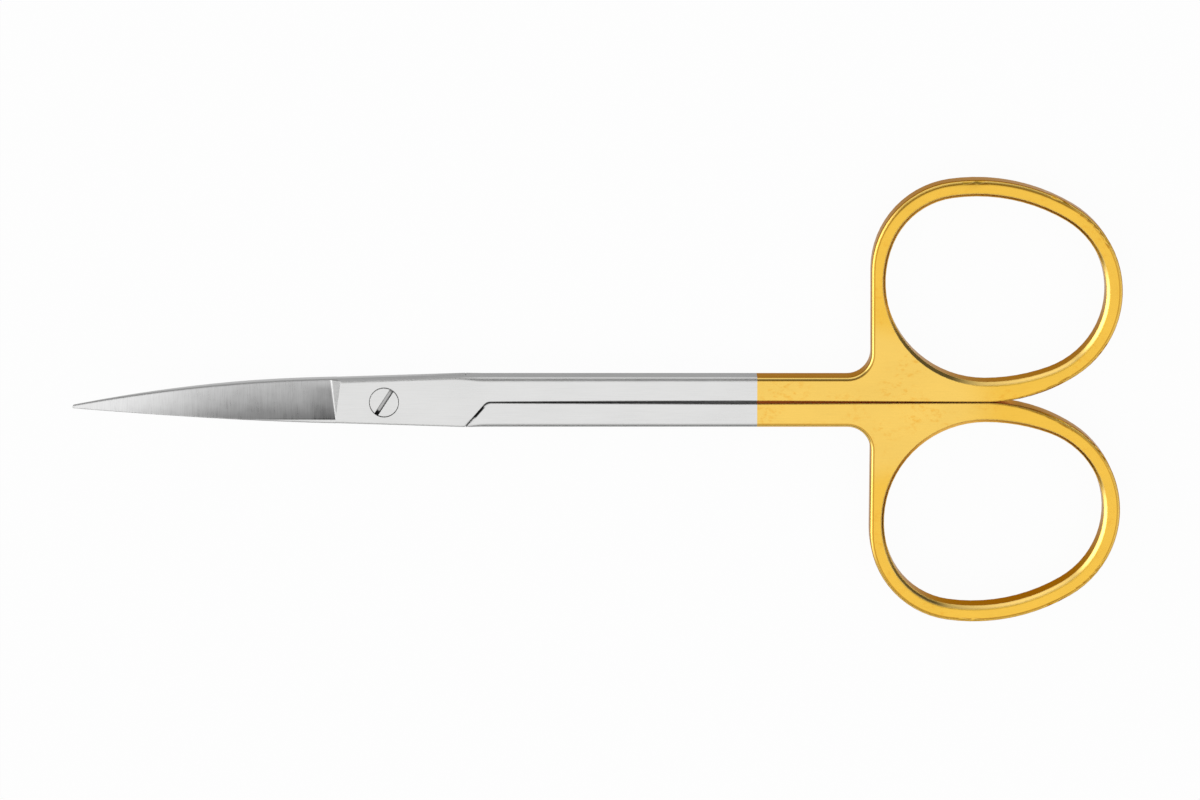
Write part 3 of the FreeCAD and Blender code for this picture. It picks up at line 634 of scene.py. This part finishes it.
class SCISSORS_OT_studio(bpy.types.Operator):
    """Makes the floor, the soft light and the camera"""

    bl_idname = "scissors.studio"
    bl_label = "Studio"

    def execute(self, context):
        settings = context.scene.studio
        self.make_floor(context.scene, settings)
        self.make_sky(context.scene, settings)
        self.make_camera(context.scene, settings)
        context.scene.view_settings.view_transform = "Standard"
        return {"FINISHED"}

    def make_floor(self, scene, settings):
        """White paper that keeps the object's shadow. It is clear from below, so that the
        underside can be looked at."""
        shape = bmesh.new()
        bmesh.ops.create_grid(shape, x_segments=1, y_segments=1, size=FLOOR_HALF * MM,
                              matrix=Matrix.Translation((0, 0, -FLOOR_DROP * MM)))
        mesh = bpy.data.meshes.new("floor")
        shape.to_mesh(mesh)
        shape.free()
        material, surface = new_surface("floor_paper")
        colour = surface.blend(surface.noise((4, 4, 4)), shade(settings.floor_colour, 0.99),
                               shade(settings.floor_colour, 1.01))
        matt = surface.add("ShaderNodeBsdfDiffuse", None, {"Color": colour})
        white = surface.add("ShaderNodeEmission", None, {"Color": WHITE, "Strength": 1.0})
        path = surface.add("ShaderNodeLightPath")
        seen = path.output("Is Camera Ray") * 0.96 + path.output("Is Glossy Ray") * 0.8
        below = surface.add("ShaderNodeNewGeometry").output("Backfacing")
        clear = surface.add("ShaderNodeBsdfTransparent")
        surface.finish(surface.mix(below, surface.mix(seen, matt, white), clear))
        mesh.materials.append(material)
        floor = bpy.data.objects.new("floor", mesh)
        scene.collection.objects.link(floor)

    def make_sky(self, scene, settings):
        """A soft overhead light that fades towards the camera's side, a bright panel on the tips'
        side, and a dim room. The camera itself sees white."""
        world = bpy.data.worlds.new("studio")
        scene.world = world
        world.use_nodes = True
        surface = Surface(world.node_tree)
        way = surface.add("ShaderNodeTexCoord").output("Generated")
        parts = surface.add("ShaderNodeSeparateXYZ", None, {0: way})
        ahead, up = parts.output("Y"), parts.output("Z")
        overhead = 1 - ahead.step_up(-0.05, 0.55) * 0.83
        corner = parts.output("X").step_up(0.05, 0.65) * ahead.step_up(-0.1, 0.3)
        overhead = (overhead + corner * 0.4) * settings.overhead
        panel = surface.dot(way, (-1, 0.1, 0.25)).step_up(0.75, 0.98)
        low = panel * settings.left_light + settings.low_sky
        for direction, start, full, strength in ROOM:
            low = low + surface.dot(way, direction).step_up(start, full) * strength
        height = up.step_up(0.2, 0.6)
        level = (height * overhead + (1 - height) * low).at_least(0.05)
        light = surface.add("ShaderNodeBackground", None, {"Color": WHITE, "Strength": level})
        white = surface.add("ShaderNodeBackground", None, {"Color": WHITE, "Strength": 1.0})
        seen = surface.add("ShaderNodeLightPath").output("Is Camera Ray")
        surface.finish(surface.mix(seen, light, white), "ShaderNodeOutputWorld")

    def make_camera(self, scene, settings):
        """A camera high above, tilted towards the upper ring, with +X to the right."""
        data = bpy.data.cameras.new("camera")
        data.lens = settings.lens
        data.sensor_width = 36
        data.clip_start = 10 * MM
        camera = bpy.data.objects.new("camera", data)
        scene.collection.objects.link(camera)
        place = Vector(settings.view_point)
        back = (place - Vector(settings.aim)).normalized()
        right = Vector((1, 0, 0))
        turn = Matrix((right, back.cross(right), back)).transposed().to_4x4()
        camera.matrix_world = Matrix.Translation(place) @ turn
        scene.camera = camera


class SCISSORS_PT_panel(bpy.types.Panel):
    """Lists the steps that dress the scissors, and their settings"""

    bl_idname = "SCISSORS_PT_panel"
    bl_label = "Scissors"
    bl_space_type = "VIEW_3D"
    bl_region_type = "UI"
    bl_category = "Scissors"

    def draw(self, context):
        for operator in OPERATORS:
            self.layout.operator(operator.bl_idname)
        scissors = context.scene.scissors
        self.layout.prop(scissors, "smooth_angle")
        for settings in (scissors.steel, scissors.ground, scissors.gold, context.scene.studio):
            box = self.layout.box()
            for name in settings.bl_rna.properties.keys():
                if name not in ("rna_type", "name"):
                    box.prop(settings, name)


OPERATORS = (SCISSORS_OT_halves, SCISSORS_OT_carbide_edges, SCISSORS_OT_pivot_screw,
             SCISSORS_OT_studio)
CLASSES = (SteelSettings, GroundSettings, GoldSettings, ScissorsSettings, StudioSettings,
           *OPERATORS, SCISSORS_PT_panel)


def register():
    for item in CLASSES:
        bpy.utils.register_class(item)
    bpy.types.Scene.scissors = group_setting(
        "Scissors", "Finishes of the scissors", ScissorsSettings)
    bpy.types.Scene.studio = group_setting("Studio", "Camera, floor and light", StudioSettings)


def unregister():
    del bpy.types.Scene.studio
    del bpy.types.Scene.scissors
    for item in reversed(CLASSES):
        bpy.utils.unregister_class(item)


def main():
    register()
    bpy.ops.scissors.halves()
    bpy.ops.scissors.carbide_edges()
    bpy.ops.scissors.pivot_screw()
    bpy.ops.scissors.studio()


if __name__ == "__main__":
    main()
